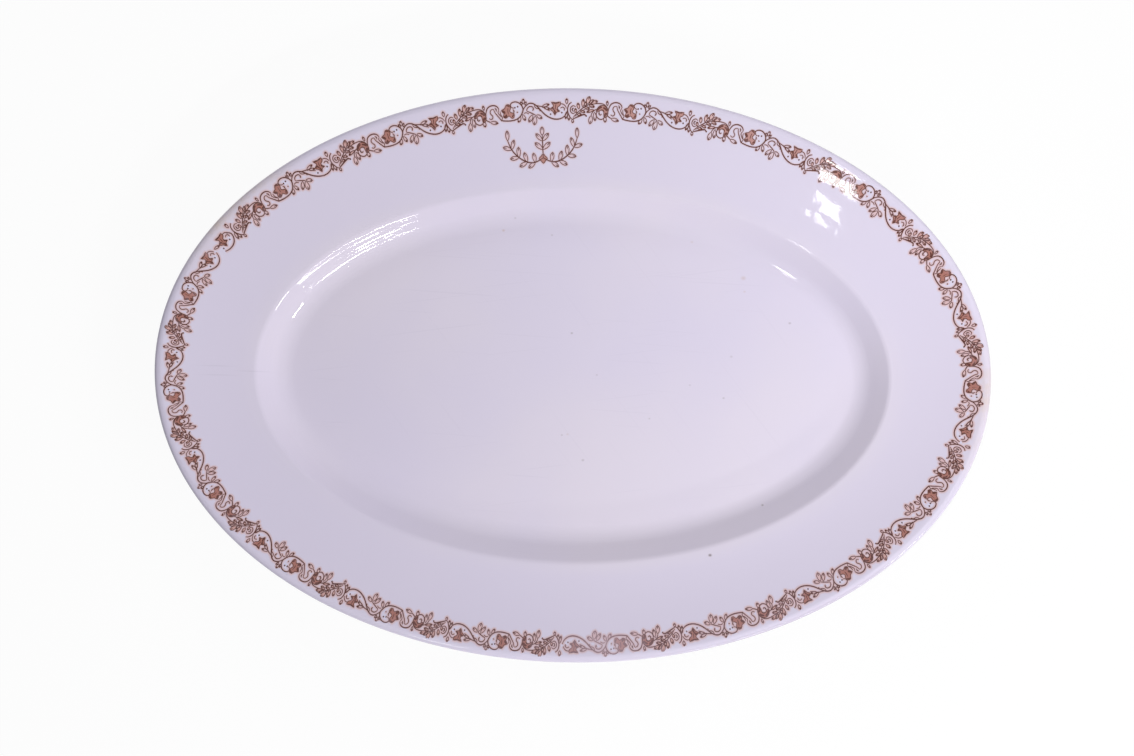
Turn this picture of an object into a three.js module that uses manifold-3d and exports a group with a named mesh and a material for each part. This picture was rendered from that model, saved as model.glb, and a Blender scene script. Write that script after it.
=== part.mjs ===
// Oval turkey platter in glazed hotel ware: a pressed clay body on a fired-on foot ring,
// with a printed scroll border laid round the rim in strips and a small printed spray.
// Millimetres. +X runs along the length, +Y towards the spray, +Z up from the standing plane.
import * as THREE from 'three';
import { mergeVertices } from 'three/addons/utils/BufferGeometryUtils.js';
import Module from 'manifold-3d';

// Clay body
const platterLength = 457;
const platterWidth = 314;
const platterHeight = 38;
const bodyThickness = 6.2;
const rimWidth = 53.8; // plan width from the lip to the corner where the wall begins
const wallRun = 15; // plan width of the wall between its two corners
const wellDepth = 12;
const coveRadius = 18; // hollow corner between floor and wall
const shoulderRadius = 14; // round corner between wall and rim
const leastRadius = 0.8; // of the hollow under the shoulder
const rimHollow = 1.5; // how far the rim's middle lies under a straight line from shoulder to lip

// Foot ring
const footHeight = 4.5; // clear height under the base
const footWidth = 7;
const footTread = 4; // flat width that stands on the table
const footSetback = 2; // from the end of the flat base to the ring's seat
const footSeatDepth = 1.2; // how far the ring is let into the base
const footBevel = 2; // height of the slope between tread and side
const slipGap = 0.3; // between the ring and its seat

// Printed border, drawn flat: u clockwise along the rim, v outwards
const printThickness = 0.2;
const printGap = 0.3; // between the print and the rim under it
const borderInset = 10.4; // plan distance from the lip to the border's middle line
const borderRepeat = 66; // wanted length of one repeat of the scroll
const borderHeight = 13;
const stemWidth = 0.9;
const leafSlimness = 0.22; // half a leaf's width over its length
const flowerNotch = 0.7; // how far in a flower's outline comes between its lobes
const joinGap = 1.8; // between the ends of two lengths of print

// Joins of the border, as distances along the lip, clockwise from the middle of the +Y side
const joinAtRight = 344.6;
const joinAtBottom = 615.8;
const joinAtUpperLeft = 1006.8;

// Printed spray
const sprayWidth = 48;
const sprayHeight = 21.5;
const sprayInset = 31; // plan distance from the lip to the spray's middle
const sprayOffset = -20.7; // along the lip from the middle of the +Y side

// Fineness of the facets
const bearings = 72;
const coveSteps = 5;
const shoulderSteps = 4;
const underShoulderSteps = 2;
const lipSteps = 3;
const rimSteps = 4;
const cornerRoom = 0.49; // largest share of a side that a round corner takes up
const outlineDivisions = 2000;
const mergeDistance = 1e-4;

const glazedWhite = { color: 0xd8d2e0, roughness: 0.12, metalness: 0 };
const bareClay = { color: 0xd9cdbb, roughness: 0.7, metalness: 0 };
const brownPrint = { color: 0x8a4a36, roughness: 0.2, metalness: 0 };

const wasm = await Module();
wasm.setup();

// Section of the body, on the platter's short axis: r out from the middle, z up
const halfLength = platterLength / 2;
const halfWidth = platterWidth / 2;
const baseZ = footHeight;
const floorZ = baseZ + bodyThickness;
const shoulderZ = floorZ + wellDepth;
const lipRadius = bodyThickness / 2;
const lipCentre = new THREE.Vector2(halfWidth - lipRadius, platterHeight - lipRadius);
const shoulder = new THREE.Vector2(halfWidth - rimWidth, shoulderZ);
const floorCorner = new THREE.Vector2(shoulder.x - wallRun, floorZ);
const wallAngle = shoulder.clone().sub(floorCorner).angle();
const shoulderToLip = lipCentre.clone().sub(shoulder);
const rimAngle = shoulderToLip.angle() + Math.asin(lipRadius / shoulderToLip.length());

// The point at a corner's underside, one body thickness away from both faces that meet there
function underCorner(corner, angleBefore, angleAfter) {
  const middle = (angleBefore + angleAfter) / 2;
  const reach = bodyThickness / Math.cos((angleAfter - angleBefore) / 2);
  return new THREE.Vector2(corner.x + reach * Math.sin(middle), corner.y - reach * Math.cos(middle));
}

// The points of a round corner, no larger than its two sides leave room for
function roundCorner(before, corner, after, radius, steps) {
  const back = before.clone().sub(corner);
  const ahead = after.clone().sub(corner);
  const halfTurn = (Math.PI - back.angleTo(ahead)) / 2;
  const room = cornerRoom * Math.min(back.length(), ahead.length());
  const reach = Math.min(radius * Math.tan(halfTurn), room);
  const bend = reach / Math.tan(halfTurn);
  const leftTurn = back.cross(ahead) < 0;
  const start = corner.clone().addScaledVector(back.normalize(), reach);
  const end = corner.clone().addScaledVector(ahead.normalize(), reach);
  const towardsCentre = back.clone().add(ahead).normalize();
  const centre = corner.clone().addScaledVector(towardsCentre, Math.hypot(bend, reach));
  const startAngle = start.sub(centre).angle();
  const endAngle = end.sub(centre).angle();
  const arc = new THREE.EllipseCurve(centre.x, centre.y, bend, bend, startAngle, endAngle, !leftTurn);
  return arc.getPoints(steps);
}

// How far the rim lies under its straight line, at a share of the way across
function sag(share) {
  return 4 * rimHollow * share * (1 - share);
}

// The points across the hollow rim, without the two ends of its straight line
function hollowRim(from, to) {
  const points = [];
  for (let i = 1; i < rimSteps; i++) {
    const share = i / rimSteps;
    const point = from.clone().lerp(to, share);
    points.push(new THREE.Vector2(point.x, point.y - sag(share)));
  }
  return points;
}

const underFloorCorner = underCorner(floorCorner, 0, wallAngle);
const underShoulder = underCorner(shoulder, wallAngle, rimAngle);
const underShoulderRadius = Math.max(shoulderRadius - bodyThickness, leastRadius);
const lipTop = new THREE.Vector2(-Math.sin(rimAngle), Math.cos(rimAngle));
const rimTop = lipCentre.clone().addScaledVector(lipTop, lipRadius);
const rimUnder = lipCentre.clone().addScaledVector(lipTop, -lipRadius);
const underRim = hollowRim(underShoulder, rimUnder);
const upperRim = hollowRim(rimTop, shoulder);
const baseMiddle = new THREE.Vector2(0, baseZ);
const floorMiddle = new THREE.Vector2(0, floorZ);
const underCoveRadius = coveRadius + bodyThickness;
const underCove = roundCorner(baseMiddle, underFloorCorner, underShoulder, underCoveRadius, coveSteps);
const baseEdge = underCove[0].x;
const seatOuter = baseEdge - footSetback;
const footOuter = seatOuter - slipGap;
const footInner = footOuter - footWidth;
const seatInner = footInner - slipGap;
const seatZ = baseZ + footSeatDepth;

// A round section drawn out into an oval: every point moves along X by the same amount at its bearing
function ovalLathe(section) {
  const geometry = new THREE.LatheGeometry(section, bearings, Math.PI / 2);
  geometry.rotateX(Math.PI / 2);
  const position = geometry.attributes.position;
  for (let i = 0; i < position.count; i++) {
    const bearing = (2 * Math.PI * Math.floor(i / section.length)) / bearings;
    position.setX(i, position.getX(i) + (halfLength - halfWidth) * Math.cos(bearing));
  }
  return closed(geometry);
}

// The same surface with its shared corners joined
function closed(geometry) {
  geometry.deleteAttribute('normal');
  geometry.deleteAttribute('uv');
  return mergeVertices(geometry, mergeDistance);
}

// Half of the lip's round, from one slant to another, which meets the other half at the outermost point
function lipArc(fromAngle, toAngle) {
  const arc = new THREE.EllipseCurve(lipCentre.x, lipCentre.y, lipRadius, lipRadius, fromAngle, toAngle);
  return arc.getPoints(lipSteps);
}

function platterBody() {
  return ovalLathe([
    baseMiddle,
    new THREE.Vector2(seatInner, baseZ),
    new THREE.Vector2(seatInner, seatZ),
    new THREE.Vector2(seatOuter, seatZ),
    new THREE.Vector2(seatOuter, baseZ),
    ...underCove,
    ...roundCorner(underFloorCorner, underShoulder, underRim[0], underShoulderRadius, underShoulderSteps),
    ...underRim,
    ...lipArc(rimAngle - Math.PI / 2, 0),
    ...lipArc(0, rimAngle + Math.PI / 2).slice(1),
    ...upperRim,
    ...roundCorner(upperRim.at(-1), shoulder, floorCorner, shoulderRadius, shoulderSteps),
    ...roundCorner(shoulder, floorCorner, floorMiddle, coveRadius, coveSteps),
    floorMiddle,
  ]);
}

function footRing() {
  const middle = (footOuter + footInner) / 2;
  const topZ = seatZ - slipGap;
  return ovalLathe([
    new THREE.Vector2(middle - footTread / 2, 0),
    new THREE.Vector2(middle + footTread / 2, 0),
    new THREE.Vector2(footOuter, footBevel),
    new THREE.Vector2(footOuter, topZ),
    new THREE.Vector2(footInner, topZ),
    new THREE.Vector2(footInner, footBevel),
    new THREE.Vector2(middle - footTread / 2, 0),
  ]);
}

// Flat print: shapes on the u, v drawing, each a thin plate
function plate(outline) {
  const solid = new THREE.ExtrudeGeometry(new THREE.Shape(outline), {
    depth: printThickness,
    bevelEnabled: false,
  });
  const mesh = closed(solid);
  return new wasm.Manifold(new wasm.Mesh({
    numProp: 3,
    vertProperties: new Float32Array(mesh.attributes.position.array),
    triVerts: new Uint32Array(mesh.index.array),
  }));
}

// A stem of even width, bent at each of its points along the smooth curve through them
function stem(points) {
  const curve = new THREE.SplineCurve(points);
  const left = [];
  const right = [];
  points.forEach((middle, i) => {
    const along = curve.getTangent(i / (points.length - 1));
    const across = new THREE.Vector2(-along.y, along.x).multiplyScalar(stemWidth / 2);
    left.push(middle.clone().add(across));
    right.unshift(middle.clone().sub(across));
  });
  return plate([...left, ...right]);
}

// A pointed leaf from the stem that it grows on to its tip
function leaf(root, tip) {
  const along = tip.clone().sub(root);
  const across = new THREE.Vector2(-along.y, along.x).multiplyScalar(leafSlimness);
  const widest = root.clone().addScaledVector(along, 0.5);
  return plate([root, widest.clone().sub(across), tip, widest.clone().add(across)]);
}

// A flower head of four lobes, put in place point by point
function flower({ middle, radius }, place) {
  const lobes = 4;
  const outline = [];
  for (let i = 0; i < 2 * lobes; i++) {
    const reach = i % 2 ? flowerNotch * radius : radius;
    const turn = (Math.PI * i) / lobes;
    outline.push(place([middle[0] + reach * Math.cos(turn), middle[1] + reach * Math.sin(turn)]));
  }
  return plate(outline);
}

function joined(solids) {
  return solids.reduce((whole, solid) => whole.add(solid));
}

// One repeat of the scroll: a small C scroll, a leafy stem that curls up, a flower in a ring,
// and a long S scroll that ends in a bowl round a second flower
const scrollStems = [
  [[2.9, -3.7], [-0.8, -1], [0.6, 2.6], [5, 2.4]],
  [[2.9, -3.7], [8.2, -1.8], [12.8, 1.1], [17.6, 3], [22.8, 1.9], [23.9, -2.6], [19.6, -6], [16.8, -3]],
  [[23.9, -2.6], [25.3, 2.4], [29, 3.5], [31.6, -0.5], [34.5, -4.9], [40, -5.2], [44.4, -0.8], [43, 4],
    [39, 3.4], [36.6, 0]],
  [[44.4, -0.8], [47.8, 2.9], [52.4, 2.7], [56, -0.9], [60.1, -4.7], [64.9, -5.4], [68.5, -1.8], [67.4, 2],
    [64.2, 1.4]],
];
const scrollLeaves = [
  [[2.9, -3.7], [0.7, -7]], [[8.2, -1.8], [9.4, 4.4]], [[12.8, 1.1], [13.8, 5.6]], [[8.2, -1.8], [14, -3]],
  [[16.8, -3], [13, -7.4]], [[22.8, 1.9], [23.6, 5.4]], [[23.9, -2.6], [28.6, -6]], [[47.8, 2.9], [49.8, -6.6]],
];
const scrollFlowers = [{ middle: [35.4, -0.4], radius: 3 }, { middle: [63.6, 0.8], radius: 2.6 }];
const bowlStem = scrollStems[3].slice(3);

// How far a drawing reaches along u (axis 0) or v (axis 1)
function spanOf(points, axis) {
  const values = points.map((point) => point[axis]);
  return { from: Math.min(...values), to: Math.max(...values) };
}

const drawnAlong = spanOf(scrollStems.flat(), 0);
const drawnAcross = spanOf([...scrollStems, ...scrollLeaves].flat(), 1);
const acrossScale = borderHeight / (drawnAcross.to - drawnAcross.from);
const patchLength = (drawnAlong.to - bowlStem[0][0]) * acrossScale;

// A strip's plates: the drawing is stretched to the repeat's length and the border's height
function scrollRepeat(repeatLength, start) {
  const alongScale = repeatLength / (drawnAlong.to - drawnAlong.from);
  const place = ([u, v]) => new THREE.Vector2(start + (u - drawnAlong.from) * alongScale, v * acrossScale);
  return joined([
    ...scrollStems.map((points) => stem(points.map(place))),
    ...scrollLeaves.map(([root, tip]) => leaf(place(root), place(tip))),
    ...scrollFlowers.map((head) => flower(head, place)),
  ]);
}

// The rim's upper face, from a place on the flat drawing
const outline = new THREE.EllipseCurve(
  0, 0, halfLength, halfWidth, Math.PI / 2, Math.PI / 2 - 2 * Math.PI, true,
);
outline.arcLengthDivisions = outlineDivisions;
const outlineLength = outline.getLength();

function onRim(along, inset, lift) {
  const share = THREE.MathUtils.euclideanModulo(along / outlineLength, 1);
  const edge = outline.getPointAt(share);
  const travel = outline.getTangentAt(share);
  const inward = new THREE.Vector2(travel.y, -travel.x);
  const across = (halfWidth - inset - shoulder.x) / (rimTop.x - shoulder.x);
  const rimZ = THREE.MathUtils.lerp(shoulder.y, rimTop.y, across) - sag(across);
  const place = edge.addScaledVector(inward, inset + lift * Math.sin(rimAngle));
  return new THREE.Vector3(place.x, place.y, rimZ + lift * Math.cos(rimAngle));
}

// A flat print laid on the rim, with its origin at a distance along the lip and in from it
function laidOnRim(flat, along, inset) {
  const { vertProperties, triVerts } = flat.getMesh();
  const position = new THREE.BufferAttribute(new Float32Array(vertProperties), 3);
  for (let i = 0; i < position.count; i++) {
    const lift = printGap + position.getZ(i);
    const place = onRim(along + position.getX(i), inset - position.getY(i), lift);
    position.setXYZ(i, place.x, place.y, place.z);
  }
  const geometry = new THREE.BufferGeometry();
  geometry.setAttribute('position', position);
  geometry.setIndex(new THREE.BufferAttribute(new Uint32Array(triVerts), 1));
  return geometry;
}

function borderStrip(start, end, reserve) {
  const span = end - start - reserve - joinGap;
  const repeats = Math.round(span / borderRepeat);
  const repeatLength = span / repeats;
  const plates = [];
  for (let i = 0; i < repeats; i++) {
    plates.push(scrollRepeat(repeatLength, i * repeatLength));
  }
  return laidOnRim(joined(plates), start, borderInset);
}

// The cut end of another repeat: its bowl and flower, pushed up to the next strip
function borderPatch() {
  const place = ([u, v]) => new THREE.Vector2((u - drawnAlong.to) * acrossScale, v * acrossScale);
  const bowl = stem(bowlStem.map(place));
  const head = flower(scrollFlowers[1], place);
  return laidOnRim(joined([bowl, head]), joinAtUpperLeft - joinGap, borderInset);
}

// A spray of leaves: an upright sprig between two arching ones, on a small rosette
const sprayStems = [
  [[0, -6], [0, -1.5], [0, 3], [0, 6.5]],
  [[0, -6], [5, -8.2], [10, -7.8], [15, -5], [19, -0.5], [21, 5]],
];
const sprayLeaves = [
  [[0, 5.9], [0, 10.5]], [[0, 3], [3.8, 7]], [[0, -1.5], [4.6, 2.2]], [[5, -8.2], [6, -3.2]],
  [[5, -8.2], [9.5, -11]], [[10, -7.8], [11.6, -2.6]], [[10, -7.8], [15, -10]], [[15, -5], [14.8, 0.6]],
  [[15, -5], [20.4, -5.4]], [[19, -0.5], [17, 4.6]], [[19, -0.5], [24, 1.2]], [[20.8, 4.4], [20.6, 9.8]],
];
const rosette = { middle: [0, -6.4], radius: 2.6 };

function rimOrnament() {
  const drawn = [...sprayStems, ...sprayLeaves].flat();
  const { from, to } = spanOf(drawn, 1);
  const along = sprayWidth / (2 * spanOf(drawn, 0).to);
  const across = sprayHeight / (to - from);
  const place = (side) => ([u, v]) => new THREE.Vector2(side * u * along, v * across);
  const solids = [flower(rosette, place(1))];
  for (const side of [1, -1]) {
    const put = place(side);
    solids.push(...sprayStems.map((points) => stem(points.map(put))));
    solids.push(...sprayLeaves.map(([root, tip]) => leaf(put(root), put(tip))));
  }
  return laidOnRim(joined(solids), sprayOffset, sprayInset);
}

const platter = new THREE.Group();

function addPiece(name, geometry, finish) {
  geometry.computeVertexNormals();
  const piece = new THREE.Mesh(geometry, new THREE.MeshStandardMaterial(finish));
  piece.name = name;
  platter.add(piece);
}

addPiece('platter_body', platterBody(), glazedWhite);
addPiece('foot_ring', footRing(), bareClay);
addPiece('border_strip_left', borderStrip(joinAtBottom, joinAtUpperLeft, patchLength + joinGap), brownPrint);
addPiece('border_patch', borderPatch(), brownPrint);
addPiece('border_strip_upper', borderStrip(joinAtUpperLeft, outlineLength + joinAtRight, 0), brownPrint);
addPiece('border_strip_right', borderStrip(joinAtRight, joinAtBottom, 0), brownPrint);
addPiece('rim_ornament', rimOrnament(), brownPrint);

export default platter;
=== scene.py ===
import math

import bpy
import numpy as np
from mathutils import Matrix, Vector


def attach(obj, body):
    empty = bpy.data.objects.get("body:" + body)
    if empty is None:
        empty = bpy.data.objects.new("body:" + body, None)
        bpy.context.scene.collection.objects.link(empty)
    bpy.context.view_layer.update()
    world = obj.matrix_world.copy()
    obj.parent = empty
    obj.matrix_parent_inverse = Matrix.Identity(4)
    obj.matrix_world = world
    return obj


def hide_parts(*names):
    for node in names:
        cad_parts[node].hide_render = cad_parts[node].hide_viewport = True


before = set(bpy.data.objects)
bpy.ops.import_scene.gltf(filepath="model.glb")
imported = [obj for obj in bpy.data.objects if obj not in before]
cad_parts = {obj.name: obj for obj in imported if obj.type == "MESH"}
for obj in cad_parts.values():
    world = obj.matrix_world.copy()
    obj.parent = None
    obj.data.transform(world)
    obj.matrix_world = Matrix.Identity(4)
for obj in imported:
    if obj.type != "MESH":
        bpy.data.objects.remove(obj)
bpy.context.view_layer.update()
mm = 0.001


# Shader helpers

class Wire:
    # a socket that can be used in sums
    def __init__(self, tree, socket):
        self.tree = tree
        self.socket = socket

    def math(self, operation, first, second):
        node = self.tree.nodes.new("ShaderNodeMath")
        node.operation = operation
        for plug, value in zip(node.inputs, (first, second)):
            if isinstance(value, Wire):
                self.tree.links.new(value.socket, plug)
            else:
                plug.default_value = value
        return Wire(self.tree, node.outputs[0])

    def __add__(self, other):
        return self.math("ADD", self, other)

    def __radd__(self, other):
        return self.math("ADD", other, self)

    def __sub__(self, other):
        return self.math("SUBTRACT", self, other)

    def __rsub__(self, other):
        return self.math("SUBTRACT", other, self)

    def __mul__(self, other):
        return self.math("MULTIPLY", self, other)

    def __rmul__(self, other):
        return self.math("MULTIPLY", other, self)


class Bench:
    # one node tree and the ways to add to it
    def __init__(self, tree):
        self.tree = tree
        self.tree.nodes.clear()

    def plug(self, plugs, key):
        for plug in plugs:
            if plug.identifier == key:
                return plug
        return plugs[key]

    def node(self, kind, settings={}, sockets={}, out=0):
        made = self.tree.nodes.new(kind)
        for key, value in settings.items():
            if key == "stops":
                ramp = made.color_ramp
                while len(ramp.elements) < len(value):
                    ramp.elements.new(1)
                for element, (place, colour) in zip(ramp.elements, value):
                    element.position = place
                    element.color = (*colour, 1)
            else:
                setattr(made, key, value)
        for key, value in sockets.items():
            target = self.plug(made.inputs, key)
            if isinstance(value, Wire):
                self.tree.links.new(value.socket, target)
            elif target.type == "RGBA" and len(value) == 3:
                target.default_value = (*value, 1)
            else:
                target.default_value = value
        if len(made.outputs) == 0:
            return None
        return Wire(self.tree, self.plug(made.outputs, out))

    def mix(self, amount, first, second):
        sockets = {"Factor_Float": amount, "A_Color": first, "B_Color": second}
        return self.node("ShaderNodeMix", {"data_type": "RGBA"}, sockets, "Result_Color")

    def noise(self, coords, scale, detail=2, roughness=0.5):
        sockets = {"Vector": coords, "Scale": scale, "Detail": detail, "Roughness": roughness}
        return self.node("ShaderNodeTexNoise", {}, sockets, "Fac")

    def rise(self, value, low, high):
        # 0 below low, 1 above high, smooth between
        return self.node("ShaderNodeMapRange", {"interpolation_type": "SMOOTHSTEP"},
                         {"Value": value, "From Min": low, "From Max": high}, "Result")

    def reach(self, coords, place, size):
        # distance from a place, where 1 is the given size on each axis
        moved = self.node("ShaderNodeMapping", {"vector_type": "TEXTURE"},
                          {"Vector": coords, "Location": place, "Scale": size})
        return self.node("ShaderNodeVectorMath", {"operation": "LENGTH"}, {0: moved}, "Value")

    def near(self, coords, place, size):
        # 1 at a place, 0 from the given size outwards
        return 1 - self.rise(self.reach(coords, place, size), 0, 1)

    def stretch(self, coords, turn, scale):
        rotation = (0, 0, math.radians(turn))
        turned = self.node("ShaderNodeMapping", {}, {"Vector": coords, "Rotation": rotation})
        return self.node("ShaderNodeMapping", {}, {"Vector": turned, "Scale": scale})

    def axis(self, coords, name):
        return self.node("ShaderNodeSeparateXYZ", {}, {"Vector": coords}, name)

    def bump(self, height, distance):
        return self.node("ShaderNodeBump", {}, {"Height": height, "Distance": distance, "Strength": 1})

    def objectCoords(self):
        return self.node("ShaderNodeTexCoord", {}, {}, "Object")

    def finishWith(self, shader):
        self.node("ShaderNodeOutputMaterial", {}, {"Surface": shader})


def newMaterial(name):
    material = bpy.data.materials.new(name)
    material.use_nodes = True
    return material, Bench(material.node_tree)


# Glazes and ink

glazeLook = {
    "cool": (0.655, 0.605, 0.74),
    "warm": (0.69, 0.635, 0.735),
    "stain": (0.62, 0.47, 0.33),
    # painted shade for the outer edge of the lip at the lower right
    "paintedEdgeShade": (0.42, 0.38, 0.46),
    "speck": (0.13, 0.09, 0.07),
    "rust": (0.45, 0.27, 0.17),
    "scratch": (0.46, 0.42, 0.53),
    "ior": 1.5,
    "roughness": 0.035,
    "wear": 0.02,
    # heights of the surface's unevenness in metres
    "ripple": 0.00016,
    "peel": 0.000012,
    "turning": 0.00004,
    # half length and half width of the ovals that bound the looks
    "wellOval": (0.16, 0.088, 10),
    "wallOval": (0.1665, 0.095, 10),
    "rimOval": (0.175, 0.105, 10),
    "lipOval": (0.2285, 0.157, 10),
    # stained lengths of the lip at the upper left and the right end: place, size, strength
    "stains": [
        ((-0.19, 0.085, 0.035), (0.06, 0.06, 0.08), 0.75),
        ((0.226, -0.012, 0.035), (0.03, 0.06, 0.08), 0.5),
    ],
    # place and strength of the painted shade on the lip's outer edge
    "paintedEdgeShadePlace": ((0.14, -0.12, 0.035), (0.2, 0.13, 0.1)),
    "paintedEdgeShadeStrength": 0.6,
    # knife marks: direction in degrees, fineness across it, strength
    "knifeMarks": [(3, 760, 0.1), (-8, 900, 0.1), (52, 640, 0.06)],
    "knifeLength": 9,
    "hairlines": [(-0.196, 0.0015, 0.03), (-0.194, -0.0035, 0.03), (-0.176, -0.001, 0.025)],
    "hairlineSize": (0.014, 0.0006, 0.05),
    "hairlineStrength": 0.24,
    # specks in millimetres: place on the platter, size, how strong, tone
    "specks": [
        (-39.9, 80.3, 1.3, 0.4, "rust"), (-0.9, 23.8, 1.1, 0.4, "speck"),
        (-12.9, 78.2, 1.0, 0.25, "speck"), (13.4, 0.8, 0.9, 0.25, "speck"),
        (84.0, -10.8, 1.1, 0.3, "speck"), (93.9, 56.1, 2.2, 0.3, "rust"),
        (94.7, 48.6, 1.1, 0.25, "rust"), (120.1, 31.5, 1.2, 0.35, "speck"),
        (-5.4, -32.9, 0.9, 0.3, "speck"), (-2.2, -32.4, 1.2, 0.2, "rust"),
        (6.5, -46.6, 1.3, 0.3, "speck"), (43.0, -22.9, 0.9, 0.25, "speck"),
        (87.9, 12.3, 1.2, 0.2, "speck"), (65.2, -3.9, 1.0, 0.2, "speck"),
        (106.3, -69.7, 1.1, 0.5, "speck"), (65.0, 75.7, 1.3, 0.2, "rust"),
        (77.2, -97.6, 1.5, 0.8, "speck"), (-33.5, 87.2, 1.0, 0.25, "speck"),
    ],
    "speckFlatness": 0.8,
}


def ovalReach(bench, coords, oval):
    # 1 on the named oval, less inside it
    return bench.reach(coords, (0, 0, 0), glazeLook[oval])


def glazeColour(bench, coords):
    # broad patches of warmer white, mostly in the well
    onRim = bench.rise(ovalReach(bench, coords, "rimOval"), 0.97, 1.08)
    warmth = bench.rise(bench.noise(coords, 7, 3), 0.3, 0.7) * (1 - 0.8 * onRim)
    colour = bench.mix(warmth, glazeLook["cool"], glazeLook["warm"])
    # tea-coloured stains on the lip
    lipReach = ovalReach(bench, coords, "lipOval")
    blotch = 0.25 + 0.75 * bench.rise(bench.noise(coords, 55, 5, 0.65), 0.42, 0.72)
    upperLeft, rightEnd = [strength * bench.near(coords, place, size)
                           for place, size, strength in glazeLook["stains"]]
    stained = bench.rise(lipReach, 0.95, 0.99) * blotch * (upperLeft + rightEnd)
    colour = bench.mix(stained, colour, glazeLook["stain"])
    # painted shade: the outer edge of the lip is darkened to a lavender grey at the lower right
    paintedEdgeShade = bench.rise(lipReach, 0.985, 0.996) * bench.near(coords, *glazeLook["paintedEdgeShadePlace"])
    colour = bench.mix(glazeLook["paintedEdgeShadeStrength"] * paintedEdgeShade, colour, glazeLook["paintedEdgeShade"])
    # knife marks in the well
    inWell = 1 - bench.rise(ovalReach(bench, coords, "wellOval"), 0.85, 1)
    for turn, fineness, strength in glazeLook["knifeMarks"]:
        drawn = bench.stretch(coords, turn, (glazeLook["knifeLength"], fineness, 1))
        line = bench.rise(bench.noise(drawn, 1, 1), 0.69, 0.73)
        colour = bench.mix(strength * line * inWell, colour, glazeLook["scratch"])
    # hairlines across the rim at the left end
    for place in glazeLook["hairlines"]:
        hair = bench.near(coords, place, glazeLook["hairlineSize"])
        colour = bench.mix(glazeLook["hairlineStrength"] * hair, colour, glazeLook["scratch"])
    return colour


def addSpecks(bench, coords, colour):
    # pinholes and rust spots
    for x, y, size, strength, tone in glazeLook["specks"]:
        shape = (size * mm, glazeLook["speckFlatness"] * size * mm, 1)
        spot = bench.near(coords, (x * mm, y * mm, 0), shape)
        colour = bench.mix(strength * spot, colour, glazeLook[tone])
    return colour


def glazeSurface(bench, coords):
    ripple = bench.noise(coords, 38, 2)
    peel = bench.noise(coords, 210, 1)
    height = ripple + peel * (glazeLook["peel"] / glazeLook["ripple"])
    # turning marks round the wall
    ring = ovalReach(bench, coords, "wallOval")
    along = 14 * bench.axis(coords, "X")
    unrolled = bench.node("ShaderNodeCombineXYZ", {}, {"X": 75 * ring, "Y": along})
    onWall = bench.rise(ring, 0.9, 0.95) * (1 - bench.rise(ring, 1.1, 1.16))
    marks = bench.noise(unrolled, 1, 1) * onWall
    height = height + marks * (glazeLook["turning"] / glazeLook["ripple"])
    return bench.bump(height, glazeLook["ripple"])


def makeGlaze():
    material, bench = newMaterial("whiteGlaze")
    coords = bench.objectCoords()
    wear = bench.rise(bench.noise(coords, 24, 4), 0.5, 0.8)
    shader = bench.node("ShaderNodeBsdfPrincipled", {}, {
        "Base Color": addSpecks(bench, coords, glazeColour(bench, coords)),
        "Roughness": glazeLook["roughness"] + glazeLook["wear"] * wear,
        "IOR": glazeLook["ior"],
        "Normal": glazeSurface(bench, coords),
    })
    bench.finishWith(shader)
    return material


clayLook = {
    "pale": (0.7, 0.63, 0.52),
    "dark": (0.52, 0.45, 0.36),
    "grime": (0.2, 0.18, 0.16),
    "grimeStrength": 0.5,
    "glazed": (0.66, 0.61, 0.73),
    "glazeLine": (2.2 * mm, 2.9 * mm),
    "glazeWave": 1.2 * mm,
    "grain": 0.12 * mm,
    "roughness": 0.78,
    "glazeSmooths": 0.7,
}


def makeClay():
    material, bench = newMaterial("bareClay")
    coords = bench.objectCoords()
    grain = bench.noise(coords, 900, 4, 0.7)
    colour = bench.mix(bench.rise(grain, 0.35, 0.7), clayLook["dark"], clayLook["pale"])
    grime = bench.rise(bench.noise(coords, 60, 5, 0.6), 0.52, 0.75)
    colour = bench.mix(clayLook["grimeStrength"] * grime, colour, clayLook["grime"])
    # the glaze was wiped off the tread, and stops at a wavy line above it
    wavy = bench.axis(coords, "Z") + (bench.noise(coords, 120, 2) - 0.5) * clayLook["glazeWave"]
    glazed = bench.rise(wavy, *clayLook["glazeLine"])
    shader = bench.node("ShaderNodeBsdfPrincipled", {}, {
        "Base Color": bench.mix(glazed, colour, clayLook["glazed"]),
        "Roughness": clayLook["roughness"] - clayLook["glazeSmooths"] * glazed,
        "Normal": bench.bump(grain * (1 - glazed), clayLook["grain"]),
    })
    bench.finishWith(shader)
    return material


inkLook = {
    "line": (0.09, 0.019, 0.012),
    "shade": (0.15, 0.036, 0.022),
    "petal": (0.32, 0.095, 0.06),
    "blush": (0.65, 0.405, 0.385),
    "worn": (0.54, 0.40, 0.47),
    "unevenness": 0.05,
    # where the ink is lighter at the top, partly faded ink and partly painted light, dull, at the bottom, and
    # worn, beside the join: place, size
    "fadedAndLitPlace": ((0.07, 0.135, 0.038), (0.22, 0.1, 0.1)),
    "dullPlace": ((0.05, -0.145, 0.038), (0.24, 0.1, 0.1)),
    "wornPlace": ((0.019, -0.149, 0.038), (0.036, 0.03, 0.08)),
    "fadedAndLitStrength": 0.08,
    "dullStrength": 0.1,
    "wornStrength": 0.4,
    "patchStrength": 0.22,
}


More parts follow.
